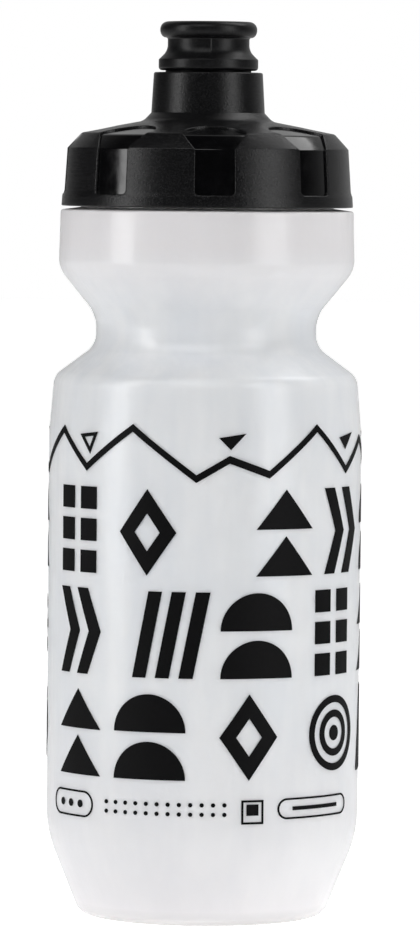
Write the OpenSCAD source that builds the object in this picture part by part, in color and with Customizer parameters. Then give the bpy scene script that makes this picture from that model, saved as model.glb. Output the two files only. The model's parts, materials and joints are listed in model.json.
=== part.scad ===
// Bicycle squeeze bottle: a blow-moulded bottle with a screw lid and a push-pull spout that holds a
// self-sealing cross-slit valve. The origin is the centre of the base, +Z is up, and the front is -Y.

/* [Bottle] */
// Radius of the barrel, which a bottle cage grips
barrel_r = 36.75; // [36:0.05:37.2]
// Height of the top of the barrel, where the shoulder starts
barrel_top = 114; // [112:0.5:116]
// Radius of the finger groove
waist_r = 25.85; // [24.5:0.05:27]
// Wall of the squeeze bottle
wall = 1.1; // [0.8:0.05:1.3]

/* [Lid] */
// Height of the lid's lower edge above the base
lid_z = 166.8; // [166.6:0.1:167.4]
// Number of windows in the soft grip
windows = 8; // [6:1:9]
// Width of a window on the skirt
window_w = 9.3; // [7:0.1:10]
// Turn of the windows about the lid's axis
window_turn = 3; // [0:1:45]

/* [Screw thread] */
// Rise of the thread in one turn
lead = 5; // [4.6:0.1:5.4]
// Turns of thread on the neck
neck_turns = 1.5; // [1:0.1:1.5]
// Turns of thread in the lid
lid_turns = 1.1; // [0.8:0.1:1.2]

/* [Spout] */
// How far the spout pulls out
spout_travel = 6.4; // [4:0.1:6.4]
// Radius of the rolled lip
lip_r = 11.4; // [11:0.1:11.8]

/* [Print] */
// Thickness of the ink film
ink_t = 0.1; // [0.05:0.01:0.12]
// Width of the bold strokes
bold = 3.3; // [2.5:0.1:3.6]
// Height of the ridge line's band
fine = 1.8; // [1.6:0.1:2.4]

/* [Hidden] */
$fn = 128;

arc_step = 9;              // degrees between the points of a rounded corner
touch_gap = 0.02;          // between pieces of different bodies that only meet
neck_r = 29.75;            // neck below the thread
neck_shoulder = lid_z - 0.4;
neck_lip = lid_z + 13.1;
thread_depth = 1;          // on the neck
lid_thread_depth = 0.9;
thread_root_h = 2.2;       // height of the thread's section at its root
thread_crest_h = 1.2;
thread_sink = 0.3;         // how deep the thread's root lies in its wall
thread_run = 35;           // degrees over which an end of the thread fades out
skirt_in = 31;             // inside of the lid's skirt
deck_z = lid_z + 14.5;     // underside of the lid's deck, where the gasket sits
tower_top = lid_z + 31.5;
tower_bore = 10.7;
tower_lip_r = 10.15;       // bead at the tower's mouth that stops the spout
tower_lip_z = lid_z + 29.9;
well_floor = lid_z + 20.5;
post_r = 6;
post_bore = 4.2;
post_top = lid_z + 31;
plug_r = 4.2;
plug_z = [lid_z + 33, lid_z + 35.6];
seal_z = lid_z + 30;       // middle of the post's seal groove
seal_wire = 0.5;           // radius of the seal ring's section
carrier_r = 10.08;
stop_r = 10.62;            // bead of the carrier, which runs in the tower's bore
stop_top = tower_lip_z - spout_travel - 0.1;
throat_r = 4.3;
valve_seat = lid_z + 37.55;
valve_flange_t = 1.2;
flap_z = lid_z + 38.3;     // middle of the flaps' thickness, where they hinge
flap_t = 0.6;
flap_reach = 3.68;         // from the valve's centre to a flap's hinge line
flap_half = 3.2;           // half of a flap's width at its hinge
slit = 0.12;
mouth_r = 6.6;
spout_top = lid_z + 43.4;
lip_wire = 1.9;            // radius of the rolled lip's section

// --- Outlines ---------------------------------------------------------------------------------

function flat(p) = [p[0], p[1]];
function unit(v) = v / norm(v);
function turned_left(v) = [-v[1], v[0]];

// The points of the corner at b, rounded with the radius b[2].
function corner(a, b, c) =
    let (u = unit(flat(a) - flat(b)), v = unit(flat(c) - flat(b)),
         half = acos(u * v) / 2, sweep = 180 - 2 * half,
         centre = flat(b) + unit(u + v) * b[2] / sin(half),
         from = flat(b) + u * b[2] / tan(half) - centre,
         to = flat(b) + v * b[2] / tan(half) - centre,
         n = ceil(sweep / arc_step))
    [for (i = [0:n]) centre + (sin(sweep * (1 - i / n)) * from + sin(sweep * i / n) * to) / sin(sweep)];

// An open outline through points [r, z, radius of the rounding], where the radius may be left out.
function rounded(path) = [
    for (i = [0:len(path) - 1])
        each (i == 0 || i == len(path) - 1 || len(path[i]) < 3 ? [flat(path[i])]
              : corner(path[i - 1], path[i], path[i + 1]))];

// The same path moved to its left by t, with its corners still rounded about the same centres.
function moved_in(path, t) = [
    for (i = [0:len(path) - 1])
        let (before = unit(flat(path[max(i, 1)]) - flat(path[max(i, 1) - 1])),
             next = min(i, len(path) - 2),
             after = unit(flat(path[next + 1]) - flat(path[next])),
             side = turned_left(before) + turned_left(after),
             shift = side * t / (1 + before * after),
             bends_left = before[0] * after[1] - before[1] * after[0] > 0,
             radius = len(path[i]) < 3 ? 0 : path[i][2] + (bends_left ? -t : t))
        radius > 0 ? [path[i][0] + shift[0], path[i][1] + shift[1], radius]
                   : flat(path[i]) + shift];

function reversed(list) = [for (i = [len(list) - 1:-1:0]) list[i]];
function raised(path, z) = [for (p = path) len(p) < 3 ? [p[0], p[1] + z] : [p[0], p[1] + z, p[2]]];
function arc(centre, r, from, to) =
    let (n = ceil(abs(to - from) / arc_step))
    [for (i = [0:n]) let (a = from + (to - from) * i / n) centre + r * [cos(a), sin(a)]];

module turned(outline) rotate_extrude() polygon(outline);

module ring(inner, outer, low, high) translate([0, 0, low]) difference() {
    cylinder(r = outer, h = high - low);
    translate([0, 0, -1]) cylinder(r = inner, h = high - low + 2);
}

// --- Screw thread -----------------------------------------------------------------------------

// One section of a thread at turn angle a, with its depth scaled by grow.
function thread_section(root, depth, a, z, grow) =
    let (crest = root + depth * grow, sunk = root - sign(depth) * thread_sink)
    [for (p = [[sunk, -thread_root_h / 2], [crest, -thread_crest_h / 2],
               [crest, thread_crest_h / 2], [sunk, thread_root_h / 2]])
        [p[0] * cos(a), p[0] * sin(a), z + p[1]]];

// A right-hand thread that starts at height z on a wall of radius root.
// A positive depth stands outwards.
module thread(root, depth, z, turns) {
    sections = ceil(turns * 36);
    points = [for (i = [0:sections])
        let (a = turns * 360 * i / sections,
             grow = min(1, a / thread_run, (turns * 360 - a) / thread_run))
        each thread_section(root, depth, a, z + lead * a / 360, max(grow, 0.02))];
    sides = [for (i = [0:sections - 1], k = [0:3])
        let (p = 4 * i + k, q = 4 * i + (k + 1) % 4)
        each (depth > 0 ? [[p, q, q + 4], [p, q + 4, p + 4]] : [[q, p, q + 4], [p, p + 4, q + 4]])];
    last = 4 * sections;
    ends = depth > 0 ? [[0, 2, 1], [0, 3, 2], [last, last + 1, last + 2], [last, last + 2, last + 3]]
                     : [[0, 1, 2], [0, 2, 3], [last, last + 2, last + 1], [last, last + 3, last + 2]];
    polyhedron(points, concat(sides, ends));
}

// --- Bottle -----------------------------------------------------------------------------------

base_outline = [[0, 2.8], [20, 2.8, 3], [24, 0, 1], [28.9, 0, 3], [barrel_r, 19.5, 25]];
shoulder_lean = 1.15;
shoulder_h = 12.9;
shoulder_outline = [[barrel_r, barrel_top, 40], [barrel_r - shoulder_lean, barrel_top + shoulder_h, 4]];
groove_outline = [[waist_r, 134.1, 5], [waist_r, 141.1, 8], [34.75, 152.2, 6]];
neck_outline = [[34.4, neck_shoulder - 1, 1], [neck_r, neck_shoulder], [neck_r, neck_lip]];
bottle_outline = concat(base_outline, shoulder_outline, groove_outline, neck_outline);

module bottle_body() color("whitesmoke", 0.7) {
    inside = moved_in(bottle_outline, wall);
    turned(concat(rounded(bottle_outline), reversed(rounded(inside))));
    thread(neck_r, thread_depth, lid_z + 4, neck_turns);
}

// --- Print ------------------------------------------------------------------------------------

ink_in = barrel_r + 0.05;
row_z = [92, 68.4, 44.8];  // heights of the three rows of bold shapes
row_h = 20;
marks_z = 28;
line_w = 0.45;             // of the small marks' frames

// Lays a flat drawing on the barrel, centred at that angle and height.
module printed(angle, z) intersection() {
    ring(ink_in, ink_in + ink_t, z - 2 * row_h, z + 2 * row_h);
    rotate([0, 0, angle]) translate([0, 0, z]) rotate([90, 0, 0])
        linear_extrude(barrel_r + 2) children();
}

module framed(points, inner) difference() {
    polygon(points);
    polygon(inner);
}

module firs() for (z = [-10, 0.8]) polygon([[-7.6, z], [7.6, z], [0, z + 9.2]]);
module diamond() framed([[0, -10], [7, 0], [0, 10], [-7, 0]],
                        [[0, -4.4], [3.1, 0], [0, 4.4], [-3.1, 0]]);
module stripes() for (x = [-5.6, 0, 5.6])
    polygon([[x - 3.6, -10], [x - 3.6 + bold, -10], [x + 3.6, 10], [x + 3.6 - bold, 10]]);
module chevrons() for (x = [-5.5, 1.5])
    polygon([[x - 2, -10], [x + 1.8, -10], [x + 6, 0], [x + 1.8, 10], [x - 2, 10], [x + 2.2, 0]]);
module hills() for (z = [-10, 1]) intersection() {
    translate([0, z]) circle(r = 8.8);
    translate([-10, z]) square([20, 9]);
}
module cells() for (x = [-6.6, 1.2], y = [-10, -2.6, 4.8]) translate([x, y]) square([5.4, 5.2]);
module target() {
    for (r = [8.8, 5.4]) difference() {
        circle(r = r);
        circle(r = r - 1.7);
    }
    circle(r = 1.8);
}
module sun() {
    circle(r = 4.4);
    for (a = [0:45:315]) rotate(a) translate([5.6, -0.9]) square([3.2, 1.8]);
}

module bold_shape(kind) {
    if (kind == 0) firs();
    if (kind == 1) hills();
    if (kind == 2) diamond();
    if (kind == 3) stripes();
    if (kind == 4) chevrons();
    if (kind == 5) cells();
    if (kind == 6) target();
    if (kind == 7) sun();
}

// Each row is a list of [angle from the front, kind of shape].
rows = [
    [[-53, 5], [-21, 2], [31, 0], [61, 4], [94, 1], [128, 3], [161, 6], [194, 5], [227, 2], [266, 0]],
    [[-52, 4], [-12, 3], [20, 1], [55, 5], [90, 0], [124, 2], [158, 4], [191, 3], [224, 1], [262, 7]],
    [[-52, 0], [-20, 1], [17, 2], [56, 6], [92, 3], [126, 5], [160, 0], [193, 7], [226, 4], [263, 6]]];

module shard() framed([[-3, 1.9], [3, 2.6], [0.5, -2.6]], [[-1.4, 1.25], [1.6, 1.6], [0.35, -1]]);
module splinter() polygon([[-3.2, 1.2], [3.2, 2.2], [-0.4, -1.6]]);

module print_shapes() color("black") {
    for (r = [0:2], s = rows[r]) printed(s[0], row_z[r]) bold_shape(s[1]);
    for (s = shards) printed(s[0], s[1]) shard();
    for (s = splinters) printed(s[0], s[1]) splinter();
}

// Loose strokes above the ridge line, as [angle from the front, height].
shards = [[-47, 112.2], [97, 112.2], [181, 112.2], [262, 112.2]];
splinters = [[10, 112.8], [63, 112.4], [139, 112.4], [223, 112.6]];

// The ridge line's corners as [angle from the front, height], all the way round.
ridge = [[-84, 105], [-63, 115], [-48, 106.5], [-27, 116], [-3, 104.5], [9, 109], [24, 105.5],
         [45, 116], [63, 106], [78, 113], [99, 105], [120, 116], [138, 106], [159, 114.5],
         [180, 104.5], [204, 116], [222, 107], [240, 113.5], [258, 106], [276, 105]];
ridge_step = 3;            // degrees between the sections of the band

// How far the ink stands from the axis at height z: the shoulder leans in above the barrel.
function ink_r(z) = ink_in - max(0, z - barrel_top) * shoulder_lean / shoulder_h;

// A band of ink that zigzags round the bottle, with four points to a section.
module print_ridge() color("black") {
    sections = 360 / ridge_step;
    points = [for (i = [0:sections - 1])
        let (turn = ridge[0][0] + i * ridge_step, z = lookup(turn, ridge))
        for (side = [[0, -1], [ink_t, -1], [ink_t, 1], [0, 1]])
            let (height = z + side[1] * fine / 2, r = ink_r(height) + side[0])
            [r * cos(turn - 90), r * sin(turn - 90), height]];
    polyhedron(points, [for (i = [0:sections - 1], k = [0:3])
        let (p = 4 * i + k, q = 4 * i + (k + 1) % 4, next = 4 * ((i + 1) % sections))
        each [[p, q, next + (k + 1) % 4], [p, next + (k + 1) % 4, next + k]]]);
}

module pill(w, h) {
    square([w - h, h], center = true);
    for (x = [-1, 1]) translate([x * (w - h) / 2, 0]) circle(d = h);
}
module pill_frame(w, h) difference() {
    pill(w, h);
    pill(w - 2 * line_w, h - 2 * line_w);
}

// Small marks below the rows: an oval with three dots, a block of dots, a square key and a pill.
module print_marks() color("black") for (turn = [0, 180]) {
    printed(turn - 56, marks_z) pill_frame(16, 6.2);
    for (x = [-3.6, 0, 3.6]) printed(turn - 56, marks_z) translate([x, 0]) circle(r = 0.9);
    for (i = [0:11], k = [0:1]) printed(turn - 37 + 4.1 * i, marks_z - 1 + 2.2 * k) circle(r = 0.5);
    printed(turn + 18.5, marks_z - 0.5) difference() {
        square([5.4, 5.6], center = true);
        square([4.4, 4.6], center = true);
    }
    printed(turn + 18.5, marks_z) square([2.9, 2.6], center = true);
    printed(turn + 46.5, marks_z) pill_frame(23, 4.9);
    printed(turn + 46.5, marks_z) square([15, 0.9], center = true);
}

// --- Lid --------------------------------------------------------------------------------------

core_outside = raised([[33.5, 0], [32.7, 13.4, 0.4], [29.95, 16.75, 1.3], [12.75, 19.95, 3.6],
                       [12.25, 31.5]], lid_z);
grip_outside = raised([[34.3, 0], [34.15, 2.4, 2], [33.85, 3.6, 2], [33.2, 13.6, 0.5],
                       [30.3, 17.2, 1], [13.25, 20.4, 3.2], [12.8, 31.5, 0.5], [12.25, 31.5]], lid_z);

module lid_core() color([0.04, 0.04, 0.045]) {
    tower_inside = [[tower_lip_r, tower_top], [tower_lip_r, tower_lip_z], [tower_bore, tower_lip_z],
                    [tower_bore, well_floor], [7.2, well_floor]];
    snap_seat = raised([[7.2, 18.9], [10, 18.9], [10, 17.2], [9.5, 16.9], [9.5, 16.5], [10, 15.9],
                        [11.4, 15.9], [11.4, 17.4]], lid_z);
    underside = [[17, lid_z + 17.3], [26.5, deck_z], [skirt_in, deck_z], [skirt_in, lid_z]];
    turned(concat(rounded(core_outside), tower_inside, snap_seat, underside));
    thread(skirt_in, -lid_thread_depth, lid_z + 2.2, lid_turns);
}

// One window of the grip: a slot in the skirt, and above it an opening that widens over the
// chamfer and ends in an arch on the dome.
module window() {
    side = window_w / 2;
    slot_low = lid_z + 2.9;
    slot_high = lid_z + 13.8;
    corner_r = 1;
    arch_r = 7.3;
    arch_y = -28.7;
    chamfer_y = [-33.2, -30.3];
    far_y = -36;
    rotate([90, 0, 0]) linear_extrude(-far_y) {
        translate([-side, slot_low + corner_r]) square([window_w, slot_high - slot_low - corner_r]);
        translate([-side + corner_r, slot_low]) square([window_w - 2 * corner_r, 2 * corner_r]);
        for (x = [-1, 1]) translate([x * (side - corner_r), slot_low + corner_r]) circle(r = corner_r);
    }
    translate([0, 0, slot_high - 0.2]) linear_extrude(8) {
        polygon([[-side, far_y], [side, far_y], [side, chamfer_y[0]], [arch_r, chamfer_y[1]],
                 [arch_r, arch_y], [-arch_r, arch_y], [-arch_r, chamfer_y[1]], [-side, chamfer_y[0]]]);
        translate([0, arch_y]) circle(r = arch_r);
    }
}

module lid_grip() color([0.09, 0.09, 0.095]) difference() {
    turned(concat(rounded(grip_outside), reversed(rounded(core_outside))));
    intersection() {
        for (i = [0:windows - 1]) rotate([0, 0, window_turn + i * 360 / windows]) window();
        ring(13.5, 40, lid_z + 1, lid_z + 25);
    }
}

module lid_gasket() color("lightgrey") ring(27.9, 30.6, neck_lip + touch_gap, deck_z - touch_gap);

// --- Spout ------------------------------------------------------------------------------------

module spout_post() color([0.04, 0.04, 0.045]) {
    groove = seal_wire + 0.1;
    turned([[post_bore, lid_z + 17.3], [9.8, lid_z + 17.3], [9.8, lid_z + 18.9], [7.1, lid_z + 18.9],
            [7.1, well_floor], [post_r, well_floor], [post_r, seal_z - groove],
            [post_r - 0.95, seal_z - groove], [post_r - 0.95, seal_z + groove],
            [post_r, seal_z + groove], [post_r - 0.3, post_top], [post_bore, post_top]]);
    for (a = [30:120:270]) rotate([0, 0, a]) translate([0.6, -0.7, post_top - 3])
        cube([post_bore - 0.2, 1.4, plug_z[0] - post_top + 3.2]);
    translate([0, 0, post_top - 3]) cylinder(r = 1.2, h = plug_z[0] - post_top + 3.2);
    translate([0, 0, plug_z[0]]) cylinder(r = plug_r, h = plug_z[1] - plug_z[0]);
}

module post_seal_ring() color("dimgrey") rotate_extrude()
    translate([post_r + 0.07 - seal_wire, seal_z]) circle(r = seal_wire, $fn = 48);

module spout_carrier() color([0.04, 0.04, 0.045]) {
    sleeve = [[post_r + 0.1, lid_z + 33.2], [post_r + 0.1, lid_z + 21.5], [7.3, lid_z + 21.5],
              [7.3, lid_z + 32]];
    skirt = [[8.9, lid_z + 32], [8.9, lid_z + 22], [stop_r, lid_z + 22], [stop_r, stop_top],
             [carrier_r, stop_top], [carrier_r, lid_z + 33.4]];
    seat = [[8.3, lid_z + 33.4], [8.3, lid_z + 40], [7.4, lid_z + 40], [7.4, valve_seat],
            [6, valve_seat]];
    throat = [[throat_r, lid_z + 35.8], [throat_r, lid_z + 33.2]];
    turned(concat(sleeve, skirt, seat, throat));
}

module mouthpiece() color([0.09, 0.09, 0.095]) {
    waist = 9.6;
    cove_r = 6;
    cove_z = lid_z + 39;
    lip_centre = [lip_r - lip_wire, spout_top - lip_wire];
    collar = rounded([[carrier_r, lid_z + 31.95], [11.7, lid_z + 31.95, 0.8],
                      [11.7, lid_z + 34.5, 0.35], [11.2, lid_z + 35]]);
    cove = arc([waist + cove_r, cove_z], cove_r, 221, 180);
    lip = arc(lip_centre, lip_wire, -87, 90);
    mouth = rounded([[lip_centre[0] - 0.2, spout_top], [mouth_r, spout_top, 1.6],
                     [mouth_r, lid_z + 40]]);
    inside = [[8.3, lid_z + 40], [8.3, lid_z + 33.4], [carrier_r, lid_z + 33.4]];
    turned(concat(collar, cove, lip, mouth, inside));
}

// --- Self-sealing valve -----------------------------------------------------------------------

module valve_rim() color("gainsboro") {
    hole = 2 * (flap_reach + flap_t / 2 + 0.07);
    ring(5.9, 7.35, valve_seat, valve_seat + valve_flange_t);
    translate([0, 0, flap_z - flap_t / 2]) difference() {
        cylinder(r = 6, h = flap_t);
        translate([-hole / 2, -hole / 2, -1]) cube([hole, hole, flap_t + 2]);
    }
}

// One of the four flaps that the cross slit leaves, with the bead that it bends about.
module flap(turn) color("gainsboro") rotate([0, 0, turn]) {
    translate([0, 0, flap_z - flap_t / 2]) linear_extrude(flap_t)
        polygon([[0, -slit], [flap_half, -flap_half - slit], [flap_half, -flap_reach],
                 [-flap_half, -flap_reach], [-flap_half, -flap_half - slit]]);
    translate([-flap_half, -flap_reach, flap_z]) rotate([0, 90, 0])
        cylinder(r = flap_t / 2, h = 2 * flap_half, $fn = 32);
}

module valve_retainer() color([0.04, 0.04, 0.045])
    ring(6.2, 7.35, valve_seat + valve_flange_t, lid_z + 40);

bottle_body();
print_ridge();
print_shapes();
print_marks();
lid_gasket();
lid_core();
lid_grip();
spout_post();
post_seal_ring();
spout_carrier();
mouthpiece();
valve_rim();
flap(0);  // valve_flap_front
flap(90);  // valve_flap_right
flap(180);  // valve_flap_back
flap(270);  // valve_flap_left
valve_retainer();
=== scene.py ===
# %% [markdown]
# # A squeeze bottle for a bicycle cage
#
# The object has two halves. A milky, blow-moulded bottle carries a black print. A black screw lid with a
# soft grip holds a push-pull spout, and a self-sealing valve sits in the spout's mouth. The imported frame
# fixes every size and every joint. This lesson builds the surfaces that the eye sees around it.

# %% Load the frame
import bisect
import json
import math

import bmesh
import bpy
from mathutils import Matrix, Vector


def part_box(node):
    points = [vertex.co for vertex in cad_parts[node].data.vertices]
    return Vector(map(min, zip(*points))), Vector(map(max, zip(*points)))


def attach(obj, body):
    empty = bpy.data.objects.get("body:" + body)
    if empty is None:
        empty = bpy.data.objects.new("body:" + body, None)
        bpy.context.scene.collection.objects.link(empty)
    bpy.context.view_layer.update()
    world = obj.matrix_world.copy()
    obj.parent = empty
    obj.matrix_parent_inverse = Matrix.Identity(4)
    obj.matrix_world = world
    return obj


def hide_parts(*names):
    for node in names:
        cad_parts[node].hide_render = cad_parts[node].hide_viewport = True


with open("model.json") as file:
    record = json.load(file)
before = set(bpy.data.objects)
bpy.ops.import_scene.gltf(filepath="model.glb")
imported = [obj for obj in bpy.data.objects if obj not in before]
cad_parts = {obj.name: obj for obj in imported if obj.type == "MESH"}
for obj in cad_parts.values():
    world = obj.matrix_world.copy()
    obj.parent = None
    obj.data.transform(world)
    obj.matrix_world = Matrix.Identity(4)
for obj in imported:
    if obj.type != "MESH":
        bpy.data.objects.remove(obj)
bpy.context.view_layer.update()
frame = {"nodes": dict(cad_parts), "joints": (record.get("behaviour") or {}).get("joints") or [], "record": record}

# %% [markdown]
# ## Sizes
#
# A maker's drawing is in millimetres, so the shapes are drawn in millimetres and made metres at the very
# end. Heights on the lid are counted from the lid's lower edge, as they would be on the lid's own drawing.

# %% Sizes that the frame gives
MM = 0.001


def lowest(node):
    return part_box(node)[0] / MM


def highest(node):
    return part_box(node)[1] / MM


cage_seat = next(m for m in frame["record"]["mounts"] if m["name"] == "cage_seat")
barrel_r = cage_seat["dims"]["r_mm"]
lid_z = lowest("lid_core").z
neck_lip = highest("bottle_body").z
spout_top = highest("mouthpiece").z
print(f"barrel {2 * barrel_r:.1f} mm across, lid starts at {lid_z:.1f} mm, top at {spout_top:.1f} mm")

# %% [markdown]
# ## Drawing an outline and turning it
#
# Almost every piece here is round, because bottles, lids and spouts are turned, spun or blown in round
# moulds. The natural way to make one is a lathe's way: draw half of the section, then spin it round the
# axis. The section is a wire of a few corners, and a vertex bevel rounds each corner as a mould maker
# would. A lathe modifier could do the same, but bmesh keeps the result as a plain mesh.

# %% Outlines with rounded corners
ARC_STEP = 6  # degrees of turn for each segment of a rounded corner


def round_corner(bm, vert, radius):
    """Rounds one corner of a wire to a radius."""
    before, after = (edge.other_vert(vert).co - vert.co for edge in vert.link_edges)
    turn = math.pi - before.angle(after)
    segments = max(2, math.ceil(math.degrees(turn) / ARC_STEP))
    bmesh.ops.bevel(bm, geom=[vert], offset=radius * math.tan(turn / 2), affect="VERTICES",
                    segments=segments, profile=0.5, material=-1)


def outline(points, closed=True):
    """A wire through points (radius, height) or (radius, height, rounding), in the XZ plane."""
    bm = bmesh.new()
    verts = [bm.verts.new((p[0], 0, p[1])) for p in points]
    for pair in zip(verts, verts[1:]):
        bm.edges.new(pair)
    if closed:
        bm.edges.new((verts[-1], verts[0]))
    for vert, point in zip(verts, points):
        if len(point) == 3:
            round_corner(bm, vert, point[2])
    return bm


def raised(points, height):
    """The same points, that much higher."""
    return [(p[0], p[1] + height, *p[2:]) for p in points]


# %% The lathe
TURN_STEPS = 240


def turned(points, closed=True, steps=TURN_STEPS):
    """Spins an outline once round the Z axis."""
    bm = outline(points, closed)
    bmesh.ops.spin(bm, geom=bm.verts[:] + bm.edges[:], cent=(0, 0, 0), axis=(0, 0, 1),
                   angle=math.tau, steps=steps, use_merge=True)
    bmesh.ops.remove_doubles(bm, verts=bm.verts, dist=0.001)
    return bm


# %% [markdown]
# ## Finishing a piece
#
# A finished piece faces outwards, is smooth where the real one is and keeps a crisp edge where two faces
# meet at an angle. Then it rides on its body, and takes the place of the plain CAD solid.

# %% Turning a bmesh into a piece
SHARP = math.radians(38)


def make_piece(name, bm, body, material, replaces=()):
    """Makes an object in metres from a bmesh in millimetres and joins it to a body."""
    bmesh.ops.recalc_face_normals(bm, faces=bm.faces)
    for face in bm.faces:
        face.smooth = True
    for edge in bm.edges:
        edge.smooth = edge.calc_face_angle(0) < SHARP
    bmesh.ops.scale(bm, vec=(MM, MM, MM), verts=bm.verts)
    mesh = bpy.data.meshes.new(name)
    bm.to_mesh(mesh)
    bm.free()
    mesh.materials.append(material)
    made = bpy.data.objects.new(name, mesh)
    bpy.context.scene.collection.objects.link(made)
    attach(made, body)
    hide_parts(*replaces)
    print(f"{name}: {len(mesh.polygons)} faces")
    return made


# %% [markdown]
# ## Materials
#
# Each finish starts from what the part is really moulded from. Colours are written as the hex values
# that a screen shows, and one function makes them linear, which is what a renderer adds up.

# %% Colours and nodes
def linear(hex_colour):
    """Linear RGBA from an sRGB hex colour."""
    parts = [int(hex_colour[i:i + 2], 16) / 255 for i in (1, 3, 5)]
    return [c / 12.92 if c <= 0.04045 else ((c + 0.055) / 1.055) ** 2.4 for c in parts] + [1]


def add(tree, kind, inputs=None, **settings):
    """Adds one node, with its settings, and fills or links its inputs."""
    made = tree.nodes.new(kind)
    for name, value in settings.items():
        setattr(made, name, value)
    for name, value in (inputs or {}).items():
        if isinstance(value, bpy.types.NodeSocket):
            tree.links.new(value, made.inputs[name])
        else:
            made.inputs[name].default_value = value
    return made


def grains_of(size):
    """The scale of a pattern whose grains are that many millimetres across."""
    return 1 / (size * MM)


def new_material(name):
    """An empty material: its node tree, its shader and the place on the piece."""
    material = bpy.data.materials.new(name)
    material.use_nodes = True
    tree = material.node_tree
    shader = tree.nodes["Principled BSDF"]
    place = add(tree, "ShaderNodeTexCoord").outputs["Object"]
    return material, tree, shader, place


# %% [markdown]
# ### Milky LDPE
#
# The bottle is low-density polyethylene with no pigment, blown against a sandblasted mould. Light goes
# into the wall, scatters and comes out a few millimetres away, so shadows stay soft and pale. The
# stretched wall is never quite even: thick and thin places cloud it, draw long vertical streaks in it
# and bend its highlights. Where it was stretched least, at the foot and round the top, it is a touch
# warmer. The corner that the bottle stands on is painted darker: painted shade for the shadow where it
# meets the floor, together with its thicker plastic.

# %% Milky LDPE
def milky_ldpe():
    material, tree, shader, place = new_material("milky_ldpe")
    drawn_out = add(tree, "ShaderNodeMapping", {"Vector": place, "Scale": (1.0, 1.0, 0.16)})
    streaks = add(tree, "ShaderNodeTexNoise", {"Vector": drawn_out.outputs["Vector"],
                                               "Scale": grains_of(10.5),
                                               "Detail": 3.0})
    clouds = add(tree, "ShaderNodeTexNoise", {"Vector": place, "Scale": grains_of(31),
                                              "Detail": 3.0})
    thickness = add(tree, "ShaderNodeMath", {0: streaks.outputs["Fac"], 1: clouds.outputs["Fac"]},
                    operation="MULTIPLY")
    share = add(tree, "ShaderNodeMapRange", {"Value": thickness.outputs["Value"], "From Min": 0.16,
                                             "From Max": 0.36})
    body = add(tree, "ShaderNodeMix", {"Factor": share.outputs["Result"], "A": linear("#ECEFF4"),
                                       "B": linear("#FAFBFD")}, data_type="RGBA")
    height = add(tree, "ShaderNodeSeparateXYZ", {"Vector": place}).outputs["Z"]
    foot = add(tree, "ShaderNodeMapRange", {"Value": height, "From Min": 0.0, "From Max": 0.05,
                                            "To Min": 0.75, "To Max": 0.0})
    top = add(tree, "ShaderNodeMapRange", {"Value": height, "From Min": 0.142, "From Max": 0.158,
                                           "To Min": 0.0, "To Max": 0.9})
    unstretched = add(tree, "ShaderNodeMath", {0: foot.outputs["Result"], 1: top.outputs["Result"]})
    warmed = add(tree, "ShaderNodeMix", {"Factor": unstretched.outputs["Value"],
                                         "A": body.outputs["Result"],
                                         "B": linear("#F1EAEB")}, data_type="RGBA")
    # Painted shade: the colour darkens over the lowest 3.5 mm, for the shadow where the bottle meets the floor,
    # together with its thicker plastic there.
    painted_foot_shade = add(tree, "ShaderNodeMapRange", {"Value": height, "From Min": 0.0, "From Max": 0.0035,
                                              "To Min": 0.9, "To Max": 0.0})
    colour = add(tree, "ShaderNodeMix", {"Factor": painted_foot_shade.outputs["Result"],
                                         "A": warmed.outputs["Result"],
                                         "B": linear("#CFCDCB")}, data_type="RGBA")
    peel = add(tree, "ShaderNodeTexNoise", {"Vector": place, "Scale": grains_of(1.1), "Detail": 2.0})
    wobble = add(tree, "ShaderNodeBump", {"Height": thickness.outputs["Value"], "Strength": 0.4,
                                          "Distance": 0.0014})
    skin = add(tree, "ShaderNodeBump", {"Height": peel.outputs["Fac"], "Strength": 0.2,
                                        "Distance": 0.00012, "Normal": wobble.outputs["Normal"]})
    tree.links.new(colour.outputs["Result"], shader.inputs["Base Color"])
    tree.links.new(skin.outputs["Normal"], shader.inputs["Normal"])
    shader.inputs["Roughness"].default_value = 0.27
    shader.inputs["IOR"].default_value = 1.51
    shader.inputs["Subsurface Weight"].default_value = 0.7
    shader.inputs["Subsurface Radius"].default_value = (1.0, 0.96, 0.92)
    shader.inputs["Subsurface Scale"].default_value = 0.006
    return material


# %% [markdown]
# ### Screen-printed ink
#
# The print is a flexible black ink, laid through a mesh and cured. It is nearly flat black, a little
# duller than the plastic, and the mesh leaves a fine unevenness in the film.

# %% Screen-printed ink
def screen_ink():
    material, tree, shader, place = new_material("screen_printed_ink")
    film = add(tree, "ShaderNodeTexNoise", {"Vector": place, "Scale": grains_of(0.7), "Detail": 3.0})
    tone = add(tree, "ShaderNodeMix", {"Factor": film.outputs["Fac"], "A": linear("#050506"),
                                       "B": linear("#0C0C0D")}, data_type="RGBA")
    bump = add(tree, "ShaderNodeBump", {"Height": film.outputs["Fac"], "Strength": 0.25,
                                        "Distance": 0.00005})
    tree.links.new(tone.outputs["Result"], shader.inputs["Base Color"])
    tree.links.new(bump.outputs["Normal"], shader.inputs["Normal"])
    shader.inputs["Roughness"].default_value = 0.5
    shader.inputs["Specular IOR Level"].default_value = 0.07
    return material


# %% [markdown]
# ### Black polypropylene
#
# The lid's hard core comes from a polished mould. Black pigment takes in what enters, so only the
# mirror-like skin shows, with faint scuffs from handling. The parts that slide are made of the same
# plastic in a dull mould, because two polished faces would stick to each other.

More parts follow.
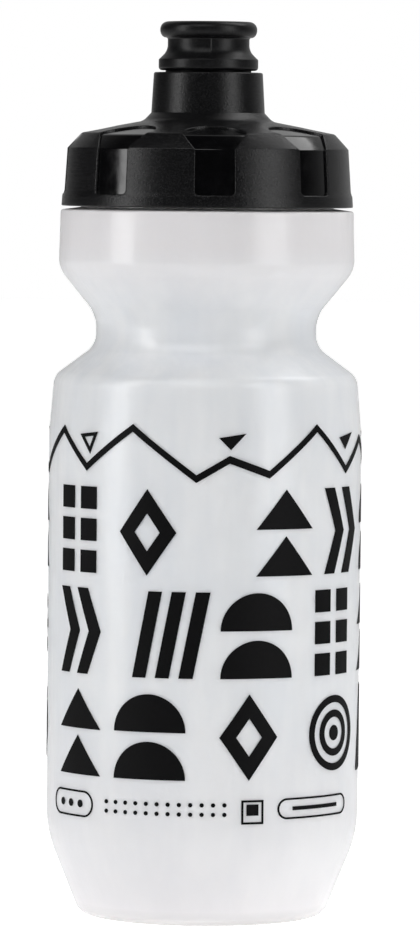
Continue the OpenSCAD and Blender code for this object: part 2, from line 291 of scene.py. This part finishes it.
# %% Black polypropylene
def black_polypropylene(name, smooth, scuffed, shine):
    material, tree, shader, place = new_material(name)
    scuffs = add(tree, "ShaderNodeTexNoise", {"Vector": place, "Scale": grains_of(3.8), "Detail": 4.0,
                                              "Roughness": 0.7})
    rough = add(tree, "ShaderNodeMapRange", {"Value": scuffs.outputs["Fac"], "From Min": 0.4,
                                             "From Max": 0.75, "To Min": smooth,
                                             "To Max": scuffed})
    sink = add(tree, "ShaderNodeTexNoise", {"Vector": place, "Scale": grains_of(11), "Detail": 1.0})
    bump = add(tree, "ShaderNodeBump", {"Height": sink.outputs["Fac"], "Strength": 0.2,
                                        "Distance": 0.0003})
    shader.inputs["Base Color"].default_value = linear("#040405")
    tree.links.new(rough.outputs["Result"], shader.inputs["Roughness"])
    tree.links.new(bump.outputs["Normal"], shader.inputs["Normal"])
    shader.inputs["Specular IOR Level"].default_value = shine
    return material


# %% [markdown]
# ### Matt elastomer
#
# The grip and the mouthpiece are a soft thermoplastic elastomer, moulded over the hard plastic. Their
# mould is spark-eroded, which leaves grains of about 0.2 mm: they break a highlight into fine sparkles.
# The crests of the grain are painted lighter, a painted sheen that keeps the black slightly grey. The
# grain is drawn a little coarser here, so that it shows. Pale dust sits on soft rubber, and a few specks
# of it show.

# %% Matt elastomer
def matt_elastomer(name, roughness, grain_depth, shine):
    material, tree, shader, place = new_material(name)
    grain = add(tree, "ShaderNodeTexNoise", {"Vector": place, "Scale": grains_of(0.35), "Detail": 2.0})
    patches = add(tree, "ShaderNodeTexNoise", {"Vector": place, "Scale": grains_of(14), "Detail": 3.0})
    # Painted sheen: the grain's crests are painted a lighter grey, standing for the light that they scatter.
    painted_crest_sheen = add(tree, "ShaderNodeMapRange", {"Value": grain.outputs["Fac"], "From Min": 0.42,
                                              "From Max": 0.66})
    black_with_painted_sheen = add(tree, "ShaderNodeMix", {"Factor": painted_crest_sheen.outputs["Result"], "A": linear("#070708"),
                                        "B": linear("#161617")}, data_type="RGBA")
    cells = add(tree, "ShaderNodeTexVoronoi", {"Vector": place, "Scale": grains_of(9)})
    speck = add(tree, "ShaderNodeMapRange", {"Value": cells.outputs["Distance"], "From Min": 0.02,
                                             "From Max": 0.05, "To Min": 0.5, "To Max": 0.0})
    rare = add(tree, "ShaderNodeMapRange", {"Value": patches.outputs["Fac"], "From Min": 0.6,
                                            "From Max": 0.64})
    dust = add(tree, "ShaderNodeMath", {0: speck.outputs["Result"], 1: rare.outputs["Result"]},
               operation="MULTIPLY")
    colour = add(tree, "ShaderNodeMix", {"Factor": dust.outputs["Value"], "A": black_with_painted_sheen.outputs["Result"],
                                         "B": linear("#8C8C8A")}, data_type="RGBA")
    bump = add(tree, "ShaderNodeBump", {"Height": grain.outputs["Fac"], "Strength": grain_depth,
                                        "Distance": 0.00012})
    tree.links.new(colour.outputs["Result"], shader.inputs["Base Color"])
    tree.links.new(bump.outputs["Normal"], shader.inputs["Normal"])
    shader.inputs["Roughness"].default_value = roughness
    shader.inputs["Specular IOR Level"].default_value = shine
    return material


# %% [markdown]
# ### Silicone
#
# The valve and the sealing ring are cast from unpigmented silicone rubber. It is cloudier than LDPE,
# takes light deeper, and has the dry shine of a soft skin.

# %% Silicone
def cloudy_silicone():
    material, tree, shader, place = new_material("cloudy_silicone")
    haze = add(tree, "ShaderNodeTexNoise", {"Vector": place, "Scale": grains_of(3.3), "Detail": 2.0})
    colour = add(tree, "ShaderNodeMix", {"Factor": haze.outputs["Fac"], "A": linear("#CFD0CC"),
                                         "B": linear("#E2E3DF")}, data_type="RGBA")
    bump = add(tree, "ShaderNodeBump", {"Height": haze.outputs["Fac"], "Strength": 0.15,
                                        "Distance": 0.0001})
    tree.links.new(colour.outputs["Result"], shader.inputs["Base Color"])
    tree.links.new(bump.outputs["Normal"], shader.inputs["Normal"])
    shader.inputs["Roughness"].default_value = 0.38
    shader.inputs["IOR"].default_value = 1.41
    shader.inputs["Subsurface Weight"].default_value = 0.6
    shader.inputs["Subsurface Radius"].default_value = (1.0, 1.0, 0.95)
    shader.inputs["Subsurface Scale"].default_value = 0.002
    return material


# %% Make the finishes
LDPE = milky_ldpe()
INK = screen_ink()
HARD = black_polypropylene("gloss_polypropylene", 0.1, 0.24, 0.42)
SLIDER = black_polypropylene("dull_polypropylene", 0.45, 0.6, 0.1)
GRIP = matt_elastomer("matt_grip_elastomer", 0.27, 0.62, 0.23)
LIP = matt_elastomer("smooth_lip_elastomer", 0.33, 0.3, 0.18)
SILICONE = cloudy_silicone()
SEAL = matt_elastomer("black_nitrile_rubber", 0.45, 0.1, 0.25)

# %% [markdown]
# ## Screw threads
#
# A thread is one small section carried up a helix. The spin operator does that when it also moves its
# copies along the axis. A moulded thread fades into the wall at both ends, so that it finds its mate,
# and here the section sinks back towards the wall over the first and last few degrees.

# %% A thread on a round wall
LEAD = 5.0
THREAD_STEP = 5  # degrees
THREAD_FADE = 35  # degrees
SECTION_CLIMB = 45  # degrees of climb that the section's own height stands for
THREAD_ROOT, THREAD_CREST = 2.2, 1.2
THREAD_SINK = 0.3


def thread(root, depth, start_z, turns):
    """A right-hand thread that starts at the front of a wall of radius root. It stands out by depth."""
    bm = bmesh.new()
    sunk = root - math.copysign(THREAD_SINK, depth)
    section = [(sunk, -THREAD_ROOT / 2), (root + depth, -THREAD_CREST / 2),
               (root + depth, THREAD_CREST / 2), (sunk, THREAD_ROOT / 2)]
    verts = [bm.verts.new((r, 0, start_z + z)) for r, z in section]
    face = bm.faces.new(verts)
    steps = round(turns * 360 / THREAD_STEP)
    bmesh.ops.spin(bm, geom=[face, *face.edges, *face.verts], cent=(0, 0, 0), axis=(0, 0, 1),
                   dvec=(0, 0, LEAD * THREAD_STEP / 360), angle=math.tau * turns, steps=steps)
    for vert in bm.verts:
        climbed = (vert.co.z - start_z) / LEAD * 360
        from_start = max(0, climbed + SECTION_CLIMB)
        from_end = max(0, turns * 360 - climbed + SECTION_CLIMB)
        fade = min(1, from_start / THREAD_FADE, from_end / THREAD_FADE)
        distance = vert.co.xy.length
        wanted = sunk + (distance - sunk) * fade
        vert.co.xy *= wanted / distance
    return bm


def joined(bm, other):
    """Adds another bmesh's shape to bm."""
    carrier = bpy.data.meshes.new("carrier")
    other.to_mesh(carrier)
    other.free()
    bm.from_mesh(carrier)
    bpy.data.meshes.remove(carrier)


# %% [markdown]
# ## The squeeze bottle
#
# The bottle is blown: a hot tube of plastic is pinched in a mould and inflated against its walls. That
# gives a thin wall of even thickness, generous corners, a pushed-up base that stands on a ring, and a
# fine line up both sides where the mould halves met. The wall is made by spinning the outside and
# giving it a thickness inwards.

# %% The squeeze bottle
WALL = 1.1
neck_r = 29.75
neck_shoulder = lid_z - 0.3
bottle_outside = [
    (0, 2.8), (20, 2.8, 3), (24, 0, 1), (28.9, 0, 3), (barrel_r, 19.5, 25),
    (barrel_r, 114, 40), (barrel_r - 1.15, 126.9, 4), (25.85, 134.1, 5), (25.85, 141.1, 8),
    (34.75, 152.2, 6), (34.4, neck_shoulder - 0.6, 0.6), (neck_r, neck_shoulder), (neck_r, neck_lip)]
bottle = turned(bottle_outside, closed=False)
bmesh.ops.recalc_face_normals(bottle, faces=bottle.faces)
bmesh.ops.solidify(bottle, geom=bottle.faces, thickness=WALL)

# The mould's parting line stands up by a hair on both sides. The barrel is left free of it, so that it
# keeps its stated width. The line ends in the pinch-off across the middle of the base.
PARTING = 0.07
for vert in bottle.verts:
    beside_line = abs(vert.co.y) < 0.5 and abs(vert.co.x) > 24
    if beside_line and vert.co.z < neck_shoulder - 0.6 and vert.co.xy.length < barrel_r - 0.3:
        vert.co.xy *= 1 + PARTING / vert.co.xy.length
pinch = bmesh.new()
bmesh.ops.create_cube(pinch, size=1)
bmesh.ops.scale(pinch, vec=(32, 0.8, 0.7), verts=pinch.verts)
bmesh.ops.bevel(pinch, geom=pinch.edges[:], offset=0.25, affect="EDGES", segments=3, profile=0.5,
                material=-1)
bmesh.ops.translate(pinch, vec=(0, 0, 2.75), verts=pinch.verts)
joined(bottle, pinch)
joined(bottle, thread(neck_r, 1.0, lid_z + 4, 1.5))
make_piece("squeeze_bottle", bottle, "bottle", LDPE, ["bottle_body"])

# %% [markdown]
# ## The print
#
# The CAD solids of the print already hold its exact outlines, wrapped on the barrel, so they stay as
# they are and only get the ink.

# %% The print
for name in ("print_ridge", "print_shapes", "print_marks"):
    node = frame["nodes"][name]
    node.data.materials.clear()
    node.data.materials.append(INK)

# %% [markdown]
# ## The lid's hard core
#
# The core does the work: the skirt carries the thread, the deck presses the sealing ring on the neck,
# and the tower guides the spout. It is spun from one section, and its thread is a helix inside the
# skirt.

# %% The lid's hard core
SKIRT_IN = 31.0
core_outside = [(33.5, 0, 0.2), (32.7, 13.4, 0.4), (29.95, 16.75, 1.3), (12.75, 19.95, 3.6), (12.25, 31.5)]
core_inside = [(10.15, 31.5, 0.3), (10.15, 29.9), (10.7, 29.9), (10.7, 20.5), (7.2, 20.5),
               (7.2, 18.9), (10, 18.9), (10, 17.2), (9.5, 16.9), (9.5, 16.5), (10, 15.9),
               (11.4, 15.9, 0.3), (11.4, 17.4, 0.5), (17, 17.3), (26.5, 14.5), (SKIRT_IN, 14.5, 0.4),
               (SKIRT_IN, 0, 0.2)]
core = turned(raised(core_outside + core_inside, lid_z))
joined(core, thread(SKIRT_IN, -0.9, lid_z + 2.2, 1.1))
make_piece("lid_hard_core", core, "lid", HARD, ["lid_core"])

# %% [markdown]
# ## The lid's soft grip
#
# The grip is a second shot of soft plastic over the core, with eight windows where the glossy core
# shows. A window crosses the skirt, the chamfer and the dome, so cutting it in the round would leave
# ragged edges. Instead one eighth of the grip is made flat, as a sheet: the window is cut and its rim
# bevelled there, where every operator is at its best. Then the sheet is bent onto the lid's outline,
# and spun into eight.

# %% The grip's outline and its sheet
WINDOWS = 8
WINDOW_TURN = math.radians(3)
SHEET_R = 33.5  # the radius at which the sheet keeps its true width
SHEET_T = 1.2
grip_outside = [(33.4, 0), (34.3, 0, 0.25), (34.15, 2.4, 2), (33.85, 3.6, 2), (33.2, 13.6, 0.5),
                (30.3, 17.2, 1), (15.2, 20.05, 2.6), (13.35, 22), (12.8, 31.5, 0.45), (12.2, 31.5)]


def walked(points):
    """The rounded outline's points in order, as (radius, height)."""
    bm = outline(points, closed=False)
    vert = min((v for v in bm.verts if len(v.link_edges) == 1),
               key=lambda v: abs(v.co.x - points[0][0]) + abs(v.co.z - points[0][1]))
    found, edge = [vert], None
    while edge is None or len(vert.link_edges) == 2:
        edge = next(e for e in vert.link_edges if e is not edge)
        vert = edge.other_vert(vert)
        found.append(vert)
    path = [Vector((v.co.x, v.co.z)) for v in found]
    bm.free()
    return path


def nearest(path, point):
    """The point of a path that lies nearest to another point."""
    best = None
    for a, b in zip(path, path[1:]):
        along = b - a
        share = max(0, min(1, (point - a).dot(along) / along.length_squared))
        spot = a + along * share
        if best is None or (spot - point).length < (best - point).length:
            best = spot
    return best


rim = walked(grip_outside)
backing = walked([(33.3, -0.1), (32.5, 13.3), (29.85, 16.6), (12.55, 19.8, 3.6), (12.05, 31.5)])
under = [nearest(backing, point) for point in rim]
along = [0]
for a, b in zip(rim, rim[1:]):
    along.append(along[-1] + (b - a).length)


def length_at_height(z):
    """How far along the outline the skirt reaches a height."""
    i = next(i for i, point in enumerate(rim) if point.y > z)
    return along[i - 1] + (along[i] - along[i - 1]) * (z - rim[i - 1].y) / (rim[i].y - rim[i - 1].y)


def length_at_radius(r):
    """How far along the outline the dome reaches a radius."""
    i = next(i for i, point in enumerate(rim) if point.y > 15 and point.x < r)
    return along[i - 1] + (along[i] - along[i - 1]) * (rim[i - 1].x - r) / (rim[i - 1].x - rim[i].x)


# %% Cut the window in the sheet
WINDOW_HALF = 4.65
WINDOW_LOW = 2.95
WINDOW_CORNER = 1.0
SKIRT_TOP = 13.5
CHAMFER_TOP_R = 30.2
ARCH_R, ARCH_FROM_AXIS = 7.3, 28.7
RIM_BEVEL = 0.3
SECTOR = math.tau / WINDOWS
sheet_half = SHEET_R * SECTOR / 2


def window_side():
    """One side of a window on the sheet, from the middle of its foot to the top of its arch."""
    low_edge = length_at_height(WINDOW_LOW)
    skirt_top = length_at_height(SKIRT_TOP)
    chamfer_top = length_at_radius(CHAMFER_TOP_R)
    points = [(0, low_edge)]
    for turn in range(0, 91, 15):
        points.append((WINDOW_HALF - WINDOW_CORNER * (1 - math.sin(math.radians(turn))),
                       low_edge + WINDOW_CORNER * (1 - math.cos(math.radians(turn)))))
    points.append((WINDOW_HALF, skirt_top))
    points.append((SHEET_R * math.asin(ARCH_R / CHAMFER_TOP_R), chamfer_top))
    for turn in range(6, 91, 6):
        x = ARCH_R * math.cos(math.radians(turn))
        y = ARCH_FROM_AXIS - ARCH_R * math.sin(math.radians(turn))
        points.append((SHEET_R * math.atan2(x, y), length_at_radius(math.hypot(x, y))))
    return points


sheet = bmesh.new()
side = window_side()
side[-1] = (0, side[-1][1])  # the arch ends exactly on the middle line
corners = [(0, 0), *side, (0, along[-1]), (sheet_half, along[-1]), (sheet_half, 0)]
sheet.faces.new([sheet.verts.new((x, y, 0)) for x, y in corners])
bmesh.ops.mirror(sheet, geom=sheet.verts[:] + sheet.edges[:] + sheet.faces[:], axis="X",
                 merge_dist=0.001)
bmesh.ops.recalc_face_normals(sheet, faces=sheet.faces)
if sheet.faces[:][0].normal.z < 0:
    bmesh.ops.reverse_faces(sheet, faces=sheet.faces)
wall = bmesh.ops.extrude_face_region(sheet, geom=sheet.faces[:], use_keep_orig=True)
lowered = [v for v in wall["geom"] if isinstance(v, bmesh.types.BMVert)]
bmesh.ops.translate(sheet, vec=(0, 0, -SHEET_T), verts=lowered)
print("sheet:", len(sheet.faces), "faces")


# %% Bevel the window's rim and bend the sheet onto the lid
def on_rim(edge):
    """True for the upper edges of the window."""
    inside = all(abs(v.co.z) < 1e-4 and abs(v.co.x) < sheet_half - 1e-3
                 and 1e-3 < v.co.y < along[-1] - 1e-3 for v in edge.verts)
    upright = any(abs(face.normal.z) < 0.5 for face in edge.link_faces)
    return inside and upright


bmesh.ops.recalc_face_normals(sheet, faces=sheet.faces)
bmesh.ops.bevel(sheet, geom=[e for e in sheet.edges if on_rim(e)], offset=RIM_BEVEL,
                affect="EDGES", segments=3, profile=0.5, material=-1)
seams = [f for f in sheet.faces if all(abs(abs(v.co.x) - sheet_half) < 1e-4 for v in f.verts)]
bmesh.ops.delete(sheet, geom=seams, context="FACES")
BEND_STEPS = 30
cuts = [((sheet_half * (2 * i / BEND_STEPS - 1), 0, 0), (1, 0, 0)) for i in range(1, BEND_STEPS)]
cuts += [((0, length, 0), (0, 1, 0)) for length in along[1:-1]]
for place, normal in cuts:
    bmesh.ops.bisect_plane(sheet, geom=sheet.verts[:] + sheet.edges[:] + sheet.faces[:],
                           dist=1e-4, plane_co=place, plane_no=normal)


def bent(spot):
    """Where a point of the flat sheet lies on the lid."""
    i = min(max(bisect.bisect_right(along, spot.y) - 1, 0), len(along) - 2)
    share = (spot.y - along[i]) / (along[i + 1] - along[i])
    top = rim[i].lerp(rim[i + 1], share)
    bottom = under[i].lerp(under[i + 1], share)
    r, z = top.lerp(bottom, -spot.z / SHEET_T)
    turn = spot.x / SHEET_R + WINDOW_TURN
    return Vector((r * math.sin(turn), -r * math.cos(turn), lid_z + z))


for vert in sheet.verts:
    vert.co = bent(vert.co)
bmesh.ops.spin(sheet, geom=sheet.verts[:] + sheet.edges[:] + sheet.faces[:], cent=(0, 0, 0),
               axis=(0, 0, 1), angle=math.tau - SECTOR, steps=WINDOWS - 1, use_duplicate=True)
bmesh.ops.remove_doubles(sheet, verts=sheet.verts, dist=0.002)
make_piece("lid_soft_grip", sheet, "lid", GRIP, ["lid_grip"])

# %% [markdown]
# ## Sealing rings
#
# A flat silicone ring lies under the deck and seals the neck. A small rubber ring in a groove of the
# post seals the spout, and slides in its bore.

# %% Sealing rings
gasket_low, gasket_high = lowest("lid_gasket").z, highest("lid_gasket").z
gasket = turned([(27.9, gasket_low, 0.3), (30.6, gasket_low, 0.3), (30.6, gasket_high, 0.3),
                 (27.9, gasket_high, 0.3)])
make_piece("neck_sealing_ring", gasket, "sealing_ring", SILICONE, ["lid_gasket"])
ring_r = highest("post_seal_ring").x - 0.5
ring_z = (lowest("post_seal_ring").z + highest("post_seal_ring").z) / 2
seal = bmesh.new()
bmesh.ops.create_circle(seal, segments=24, radius=0.5)
bmesh.ops.rotate(seal, matrix=Matrix.Rotation(math.pi / 2, 3, "X"), verts=seal.verts)
bmesh.ops.translate(seal, vec=(ring_r, 0, ring_z), verts=seal.verts)
bmesh.ops.spin(seal, geom=seal.verts[:] + seal.edges[:], cent=(0, 0, 0), axis=(0, 0, 1),
               angle=math.tau, steps=TURN_STEPS // 2, use_merge=True)
make_piece("post_seal", seal, "lid", SEAL, ["post_seal_ring"])

# %% [markdown]
# ## The spout post
#
# The post snaps into the lid from below. It is a tube whose end is closed by a plug on three ribs:
# drink flows between the ribs, and the plug shuts the spout's throat when the spout is pushed down.

# %% The spout post
POST_R, POST_BORE, PLUG_R = 6.0, 4.2, 4.2
groove_z = ring_z - lid_z
post = turned(raised([
    (POST_BORE, 17.3, 0.2), (9.8, 17.3, 0.2), (9.8, 18.9), (7.1, 18.9), (7.1, 20.5), (POST_R, 20.5),
    (POST_R, groove_z - 0.6), (POST_R - 0.95, groove_z - 0.6), (POST_R - 0.95, groove_z + 0.6),
    (POST_R, groove_z + 0.6), (POST_R - 0.3, 31), (POST_BORE, 31, 0.2)], lid_z))
joined(post, turned(raised([(0, 33), (PLUG_R, 33, 0.3), (PLUG_R, 35.6, 0.5), (0, 35.6)], lid_z),
                    closed=False))
joined(post, turned(raised([(0, 28), (1.2, 28, 0.3), (1.2, 33.2), (0, 33.2)], lid_z), closed=False,
                    steps=48))
for turn in (30, 150, 270):
    rib = bmesh.new()
    bmesh.ops.create_cube(rib, size=1)
    bmesh.ops.scale(rib, vec=(POST_BORE - 0.2, 1.4, 5.2), verts=rib.verts)
    bmesh.ops.bevel(rib, geom=rib.edges[:], offset=0.15, affect="EDGES", segments=2, profile=0.5,
                    material=-1)
    bmesh.ops.translate(rib, vec=(0.6 + (POST_BORE - 0.2) / 2, 0, lid_z + 30.6), verts=rib.verts)
    bmesh.ops.rotate(rib, matrix=Matrix.Rotation(math.radians(turn), 3, "Z"), verts=rib.verts)
    joined(post, rib)
make_piece("spout_post_tube", post, "lid", SLIDER, ["spout_post"])

# %% [markdown]
# ## The spout
#
# A hard sleeve slides on the post and carries everything that moves. The soft mouthpiece is moulded
# over it: a collar to pull with the teeth, a waist, and a rolled lip. Where its mould halves met, a
# hair-fine line runs up the waist.

# %% The spout's hard sleeve
CARRIER_R, STOP_R, SEAT_R = 10.08, 10.62, 8.3
tower_lip = 29.9
travel = next(j for j in frame["joints"] if j["name"] == "spout_pull")["range_m"][1] / MM
stop_top = tower_lip - travel - 0.1
sleeve = turned(raised([
    (POST_R + 0.1, 33.2), (POST_R + 0.1, 21.5, 0.2), (7.3, 21.5, 0.2), (7.3, 32, 0.3), (8.9, 32, 0.3),
    (8.9, 22, 0.2), (STOP_R, 22, 0.3), (STOP_R, stop_top, 0.2), (CARRIER_R, stop_top),
    (CARRIER_R, 33.4), (SEAT_R, 33.4), (SEAT_R, 40), (7.4, 40, 0.15), (7.4, 37.55), (6, 37.55, 0.2),
    (4.3, 35.8, 0.3), (4.3, 33.2)], lid_z))
make_piece("spout_sleeve", sleeve, "spout", SLIDER, ["spout_carrier"])

# %% The soft mouthpiece
WAIST_R, MOUTH_R = 9.6, 6.6
collar_r = highest("mouthpiece").x
lip_r = collar_r - 0.3
lip_top = spout_top - lid_z
lip = turned(raised([
    (CARRIER_R, 31.95), (collar_r, 31.95, 0.8), (collar_r, 34.5, 0.4), (collar_r - 0.6, 35.05, 0.3),
    (WAIST_R, 36.6, 3), (WAIST_R, 39.65, 0.5), (lip_r, 39.65, 1.85), (lip_r, lip_top, 1.85),
    (MOUTH_R, lip_top, 1.6), (MOUTH_R, 40), (SEAT_R, 40), (SEAT_R, 33.4), (CARRIER_R, 33.4)], lid_z))
SEAM_HEIGHT = 0.12
SEAM_TURN, SEAM_HALF = math.radians(3), 0.013
SEAM_FROM, SEAM_TO = 35.2, 39.6
for vert in lip.verts:
    turn = math.atan2(vert.co.x, -vert.co.y)
    on_seam = abs(math.remainder(turn - SEAM_TURN, math.pi)) < SEAM_HALF
    if on_seam and SEAM_FROM < vert.co.z - lid_z < SEAM_TO and vert.co.xy.length > SEAT_R + 0.5:
        vert.co.xy *= 1 + SEAM_HEIGHT / vert.co.xy.length
make_piece("soft_mouthpiece", lip, "spout", LIP, ["mouthpiece"])

# %% [markdown]
# ## The self-sealing valve
#
# The valve is a silicone disc with a cross slit. Squeezing the bottle bends its four flaps outwards,
# and they fall shut again by themselves. Each flap is its own piece, because each one moves, and a
# ring clips the disc's flange into the sleeve.

# %% The valve's rim and its retainer
FLAP_REACH, FLAP_HALF, FLAP_T, SLIT = 3.68, 3.2, 0.6, 0.12
flap_z = (lowest("valve_flap_front").z + highest("valve_flap_front").z) / 2
flange_low, flange_high = lowest("valve_rim").z, highest("valve_rim").z
valve = turned([(5.9, flange_low, 0.15), (7.35, flange_low, 0.15), (7.35, flange_high, 0.15),
                (5.9, flange_high, 0.15)])
web = bmesh.new()
hole_half = FLAP_REACH + FLAP_T / 2 + 0.07
bmesh.ops.create_circle(web, segments=96, radius=6.0)
bmesh.ops.create_circle(web, segments=4, radius=hole_half * math.sqrt(2),
                        matrix=Matrix.Rotation(math.pi / 4, 4, "Z"))
bmesh.ops.subdivide_edges(web, edges=[e for e in web.edges if e.calc_length() > 1], cuts=23)
bmesh.ops.bridge_loops(web, edges=web.edges[:])
bmesh.ops.recalc_face_normals(web, faces=web.faces)
bmesh.ops.solidify(web, geom=web.faces, thickness=FLAP_T)
middle = (min(v.co.z for v in web.verts) + max(v.co.z for v in web.verts)) / 2
bmesh.ops.translate(web, vec=(0, 0, flap_z - middle), verts=web.verts)
CORNER = hole_half - FLAP_HALF - 0.05  # no flap reaches the corners of the hole, so pads fill them
for turn in range(4):
    pad = bmesh.new()
    bmesh.ops.create_cube(pad, size=1)
    bmesh.ops.scale(pad, vec=(CORNER, CORNER, FLAP_T), verts=pad.verts)
    pad_place = hole_half - CORNER / 2
    bmesh.ops.translate(pad, vec=(pad_place, pad_place, flap_z), verts=pad.verts)
    bmesh.ops.rotate(pad, matrix=Matrix.Rotation(turn * math.pi / 2, 3, "Z"), verts=pad.verts)
    joined(web, pad)
joined(valve, web)
make_piece("valve_disc", valve, "spout", SILICONE, ["valve_rim"])
clip_low, clip_high = lowest("valve_retainer").z, highest("valve_retainer").z
clip = turned([(6.2, clip_low, 0.1), (7.35, clip_low), (7.35, clip_high, 0.3), (6.2, clip_high, 0.3)])
make_piece("valve_clip_ring", clip, "spout", SLIDER, ["valve_retainer"])


# %% The four flaps
def flap(turn):
    """One flap: a thin leaf with soft edges, and the bead that it bends about."""
    bm = bmesh.new()
    points = [(0, -SLIT), (FLAP_HALF, -FLAP_HALF - SLIT), (FLAP_HALF, -FLAP_REACH),
              (-FLAP_HALF, -FLAP_REACH), (-FLAP_HALF, -FLAP_HALF - SLIT)]
    leaf = bm.faces.new([bm.verts.new((x, y, -FLAP_T / 2)) for x, y in points])
    grown = bmesh.ops.extrude_face_region(bm, geom=[leaf], use_keep_orig=True)
    bmesh.ops.translate(bm, vec=(0, 0, FLAP_T),
                        verts=[v for v in grown["geom"] if isinstance(v, bmesh.types.BMVert)])
    bmesh.ops.bevel(bm, geom=bm.edges[:], offset=0.07, affect="EDGES", segments=2, profile=0.5,
                    material=-1)
    bead = bmesh.new()
    bmesh.ops.create_cone(bead, segments=24, radius1=FLAP_T / 2, radius2=FLAP_T / 2,
                          depth=2 * FLAP_HALF, cap_ends=True)
    bmesh.ops.rotate(bead, matrix=Matrix.Rotation(math.pi / 2, 3, "Y"), verts=bead.verts)
    bmesh.ops.translate(bead, vec=(0, -FLAP_REACH, 0), verts=bead.verts)
    joined(bm, bead)
    bmesh.ops.rotate(bm, matrix=Matrix.Rotation(math.radians(turn), 3, "Z"), verts=bm.verts)
    bmesh.ops.translate(bm, vec=(0, 0, flap_z), verts=bm.verts)
    return bm


for turn, place in enumerate(("front", "right", "back", "left")):
    make_piece(f"valve_leaf_{place}", flap(90 * turn), f"flap_{place}", SILICONE,
               [f"valve_flap_{place}"])

# %% [markdown]
# ## Floor, light and camera
#
# The bottle stands on pale paper in a dim studio. A black and a white thing in one picture want
# opposite light: the milky wall needs a lot of it, and gloss black only stays black when it has
# nothing bright in front to mirror. So the light comes from the sides and from above. Two tall soft
# boxes draw the long highlights, a third one over the right shoulder lights the lid's slopes, and the
# room in front stays dark. The paper glows by itself: the camera sees it evenly white, and every other
# ray finds a painted pool of light round the bottle that lights its foot, though the paper is no lamp.

# %% Floor
def camera_only(tree, unseen, seen):
    """A value that the camera sees as one thing and every other ray as another."""
    ray = add(tree, "ShaderNodeLightPath").outputs["Is Camera Ray"]
    return add(tree, "ShaderNodeMix", {"Factor": ray, "A": unseen, "B": seen}).outputs["Result"]


floor_mesh = bpy.data.meshes.new("studio_floor")
floor_shape = bmesh.new()
bmesh.ops.create_grid(floor_shape, x_segments=1, y_segments=1, size=6)
floor_shape.to_mesh(floor_mesh)
floor_shape.free()
floor = bpy.data.objects.new("studio_floor", floor_mesh)
floor.location.z = -0.0002
bpy.context.scene.collection.objects.link(floor)
paper, paper_tree, paper_shader, paper_place = new_material("white_paper")
paper_shader.inputs["Base Color"].default_value = linear("#F4F4F4")
paper_shader.inputs["Roughness"].default_value = 0.9
paper_shader.inputs["Emission Color"].default_value = linear("#FFFFFF")
# Painted light: for every ray but the camera's, the paper glows brightest within 6 cm of the bottle and fades to a
# dimmer glow by 20 cm.
away = add(paper_tree, "ShaderNodeVectorMath", {0: paper_place}, operation="LENGTH").outputs["Value"]
painted_light_pool = add(paper_tree, "ShaderNodeMapRange", {"Value": away, "From Min": 0.06, "From Max": 0.2,
                                              "To Min": 0.5, "To Max": 0.24},
           interpolation_type="SMOOTHSTEP").outputs["Result"]
paper_tree.links.new(camera_only(paper_tree, painted_light_pool, 0.85), paper_shader.inputs["Emission Strength"])
floor_mesh.materials.append(paper)

# %% The room
ROOM_GLOW_FROM = Vector((0.35, 0.85, 0.4))  # behind, to the right and a little up
world = bpy.data.worlds.new("white_studio")
bpy.context.scene.world = world
world.use_nodes = True
sky = world.node_tree
sky.nodes.clear()
direction = add(sky, "ShaderNodeTexCoord").outputs["Generated"]
facing = add(sky, "ShaderNodeVectorMath", {0: direction, 1: ROOM_GLOW_FROM}, operation="DOT_PRODUCT")
glow = add(sky, "ShaderNodeMapRange", {"Value": facing.outputs["Value"], "From Min": 0.25,
                                       "From Max": 1.0, "To Min": 0.02, "To Max": 0.5},
           interpolation_type="SMOOTHSTEP").outputs["Result"]
studio = add(sky, "ShaderNodeBackground", {"Color": linear("#FFFFFF"),
                                           "Strength": camera_only(sky, glow, 1.0)})
add(sky, "ShaderNodeOutputWorld", {"Surface": studio.outputs["Background"]})


# %% Soft boxes
def soft_box(name, place, size, brightness):
    """An area light that faces the bottle's middle, with the same brightness whatever its size."""
    data = bpy.data.lights.new(name, "AREA")
    data.shape = "RECTANGLE"
    data.size, data.size_y = size
    data.energy = brightness * math.pi * size[0] * size[1]
    box = bpy.data.objects.new(name, data)
    box.location = place
    box.rotation_mode = "QUATERNION"
    box.rotation_quaternion = (Vector((0, 0, 0.11)) - box.location).to_track_quat("-Z", "Y")
    bpy.context.scene.collection.objects.link(box)


def beside(turn, distance, height):
    """A place at an angle from the front, seen from above."""
    a = math.radians(turn)
    return distance * math.sin(a), -distance * math.cos(a), height


soft_box("left_soft_box", beside(-67, 0.8, 0.31), (0.25, 1.1), 5.75)
soft_box("right_soft_box", beside(52, 0.8, 0.31), (0.34, 1.1), 4.0)
soft_box("shoulder_soft_box", (0.42, 0.2, 0.85), (0.34, 0.5), 3.6)
soft_box("fill_soft_box", (-0.25, -0.75, 1.1), (0.8, 0.5), 2.55)

# %% Camera
CAMERA_DISTANCE = 1.46
CAMERA_HEIGHT = 0.18
AIM_HEIGHT = 0.1038
AIM_SIDE = 0.0012
LENS = 235.4
CAMERA_ROLL = math.radians(0.5)
lens = bpy.data.cameras.new("catalogue_camera")
lens.lens = LENS
camera = bpy.data.objects.new("catalogue_camera", lens)
camera.location = (AIM_SIDE, -CAMERA_DISTANCE, CAMERA_HEIGHT)
look = Vector((AIM_SIDE, 0, AIM_HEIGHT)) - camera.location
camera.rotation_mode = "QUATERNION"
camera.rotation_quaternion = (look.to_track_quat("-Z", "Y").to_matrix()
                              @ Matrix.Rotation(CAMERA_ROLL, 3, "Z")).to_quaternion()
bpy.context.scene.collection.objects.link(camera)
bpy.context.scene.camera = camera
bpy.context.scene.view_settings.view_transform = "Standard"
